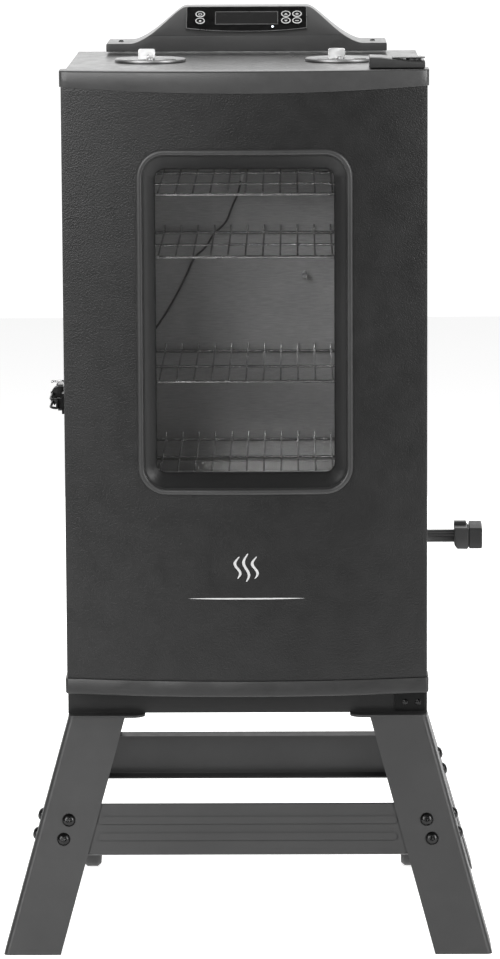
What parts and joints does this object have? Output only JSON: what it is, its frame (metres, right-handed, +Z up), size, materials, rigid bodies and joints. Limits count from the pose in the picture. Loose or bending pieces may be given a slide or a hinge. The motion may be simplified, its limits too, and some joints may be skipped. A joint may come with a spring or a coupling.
{
  "type": "electric cabinet smoker",
  "caption": "Upright black electric smoker cabinet with a bowed windowed door, wire racks, rear-mounted control head and a splayed steel stand.",
  "frame": {"origin": "on the floor, under the middle of the four feet", "axes": "+X to the right of someone facing the door, +Y to the back, +Z up"},
  "size_m": [0.625, 0.525, 1.1845],
  "materials": {
    "stand_paint": "satin black powder coat",
    "cabinet_paint": "semi-gloss black paint",
    "top_paint": "semi-gloss black paint",
    "door_paint": "pebbled black paint",
    "door_cap_plastic": "fine-grained black plastic",
    "bezel_plastic": "satin black",
    "window_glass": "clear tempered glass with a light smoke tint",
    "chamber_steel": "brushed stainless steel",
    "rack_chrome": "chromed wire",
    "heater_sheath": "dark oxidised sheath",
    "gasket_rubber": "matte silicone",
    "insulation_wool": "mineral wool",
    "trim_plastic": "satin black plastic",
    "bracket_steel": "zinc-plated steel",
    "fastener_steel": "nickel-plated screws",
    "damper_metal": "grey metallic",
    "panel_gloss": "glossy black",
    "button_plastic": "satin black keys",
    "wheel_rubber": "moulded black rubber",
    "cable_jacket": "dark braided silicone",
    "probe_steel": "polished stainless"
  },
  "bodies": {
    "cabinet": {"back_panel": "cabinet_paint", "beam_front": "stand_paint", "beam_rear": "stand_paint", "beams_side": "stand_paint", "bottom_panel": "cabinet_paint", "chip_housing": "chamber_steel", "chip_tray": "chamber_steel", "control_panel": "panel_gloss", "controller_housing": "trim_plastic", "drip_pan": "chamber_steel", "fasteners": "fastener_steel", "front_frame": "cabinet_paint", "heating_element": "heater_sheath", "hinge_bracket_bottom": "bracket_steel", "hinge_bracket_top": "trim_plastic", "inner_liner": "chamber_steel", "insulation": "insulation_wool", "latch_base": "bracket_steel", "leg_front_left": "stand_paint", "leg_front_right": "stand_paint", "leg_rear_left": "stand_paint", "leg_rear_right": "stand_paint", "loader_sleeve": "bracket_steel", "meat_probe": "probe_steel", "power_inlet": "trim_plastic", "probe_cable": "cable_jacket", "probe_gland": "trim_plastic", "rack_1": "rack_chrome", "rack_2": "rack_chrome", "rack_3": "rack_chrome", "rack_4": "rack_chrome", "rack_supports": "chamber_steel", "side_panel_left": "cabinet_paint", "side_panel_right": "cabinet_paint", "temp_sensor": "chamber_steel", "top_panel": "top_paint", "water_bowl": "chamber_steel", "wheel_axle": "bracket_steel"},
    "door": {"door_skin": "door_paint", "door_cap_top": "door_cap_plastic", "door_cap_bottom": "door_cap_plastic", "window_bezel": "bezel_plastic", "window_glass": "window_glass", "door_liner": "chamber_steel", "door_seal": "gasket_rubber", "door_catch": "rack_chrome"},
    "latch_lever": {"latch_lever": "trim_plastic"},
    "latch_bail": {"latch_bail": "rack_chrome"},
    "damper_left": {"damper_left": "damper_metal"},
    "damper_right": {"damper_right": "damper_metal"},
    "grease_tray": {"grease_tray": "chamber_steel"},
    "loader_slide": {"loader_ring": "trim_plastic"},
    "loader_turn": {"loader_scoop": "chamber_steel", "loader_handle": "trim_plastic"},
    "wheel_left": {"wheel_left": "wheel_rubber"},
    "wheel_right": {"wheel_right": "wheel_rubber"},
    "button_1": {"button_1": "button_plastic"},
    "button_2": {"button_2": "button_plastic"},
    "button_3": {"button_3": "button_plastic"},
    "button_4": {"button_4": "button_plastic"},
    "button_5": {"button_5": "button_plastic"},
    "button_6": {"button_6": "button_plastic"}
  },
  "joints": [
    {"name": "door_hinge", "type": "hinge", "parent": "cabinet", "child": "door", "pos_m": [0.213, -0.1905, 0.7285], "axis": [0, 0, 1], "range_deg": [0, 115]},
    {"name": "latch_lever_turn", "type": "hinge", "parent": "cabinet", "child": "latch_lever", "pos_m": [-0.2356, -0.139, 0.704], "axis": [0, 0, 1], "range_deg": [0, 90]},
    {"name": "latch_bail_turn", "type": "hinge", "parent": "latch_lever", "child": "latch_bail", "pos_m": [-0.2466, -0.139, 0.704], "axis": [0, 0, 1], "range_deg": [-150, 0]},
    {"name": "damper_left_turn", "type": "hinge", "parent": "cabinet", "child": "damper_left", "pos_m": [-0.123, -0.0175, 1.126], "axis": [0, 0, 1], "range_deg": [0, 90]},
    {"name": "damper_right_turn", "type": "hinge", "parent": "cabinet", "child": "damper_right", "pos_m": [0.123, -0.0175, 1.126], "axis": [0, 0, 1], "range_deg": [0, 90]},
    {"name": "grease_tray_slide", "type": "slide", "parent": "cabinet", "child": "grease_tray", "axis": [0, 1, 0], "range_m": [0, 0.12]},
    {"name": "loader_pull", "type": "slide", "parent": "cabinet", "child": "loader_slide", "axis": [1, 0, 0], "range_m": [0, 0.115]},
    {"name": "loader_turn_over", "type": "hinge", "parent": "loader_slide", "child": "loader_turn", "pos_m": [0.228, -0.0825, 0.512], "axis": [1, 0, 0], "range_deg": [0, 180]},
    {"name": "wheel_left_spin", "type": "hinge", "parent": "cabinet", "child": "wheel_left", "pos_m": [-0.219, 0.2155, 0.032], "axis": [1, 0, 0], "continuous": true},
    {"name": "wheel_right_spin", "type": "hinge", "parent": "cabinet", "child": "wheel_right", "pos_m": [0.219, 0.2155, 0.032], "axis": [1, 0, 0], "continuous": true},
    {"name": "button_1_press", "type": "slide", "parent": "cabinet", "child": "button_1", "axis": [0, 0.5736, -0.8192], "range_m": [0, 0.0008], "stiffness_N_per_m": 400},
    {"name": "button_2_press", "type": "slide", "parent": "cabinet", "child": "button_2", "axis": [0, 0.5736, -0.8192], "range_m": [0, 0.0008], "stiffness_N_per_m": 400},
    {"name": "button_3_press", "type": "slide", "parent": "cabinet", "child": "button_3", "axis": [0, 0.5736, -0.8192], "range_m": [0, 0.0008], "stiffness_N_per_m": 400},
    {"name": "button_4_press", "type": "slide", "parent": "cabinet", "child": "button_4", "axis": [0, 0.5736, -0.8192], "range_m": [0, 0.0008], "stiffness_N_per_m": 400},
    {"name": "button_5_press", "type": "slide", "parent": "cabinet", "child": "button_5", "axis": [0, 0.5736, -0.8192], "range_m": [0, 0.0008], "stiffness_N_per_m": 400},
    {"name": "button_6_press", "type": "slide", "parent": "cabinet", "child": "button_6", "axis": [0, 0.5736, -0.8192], "range_m": [0, 0.0008], "stiffness_N_per_m": 400}
  ],
  "couplings": [
    {"joint": "latch_bail_turn", "follows": "latch_lever_turn", "ratio": -1.6}
  ]
}
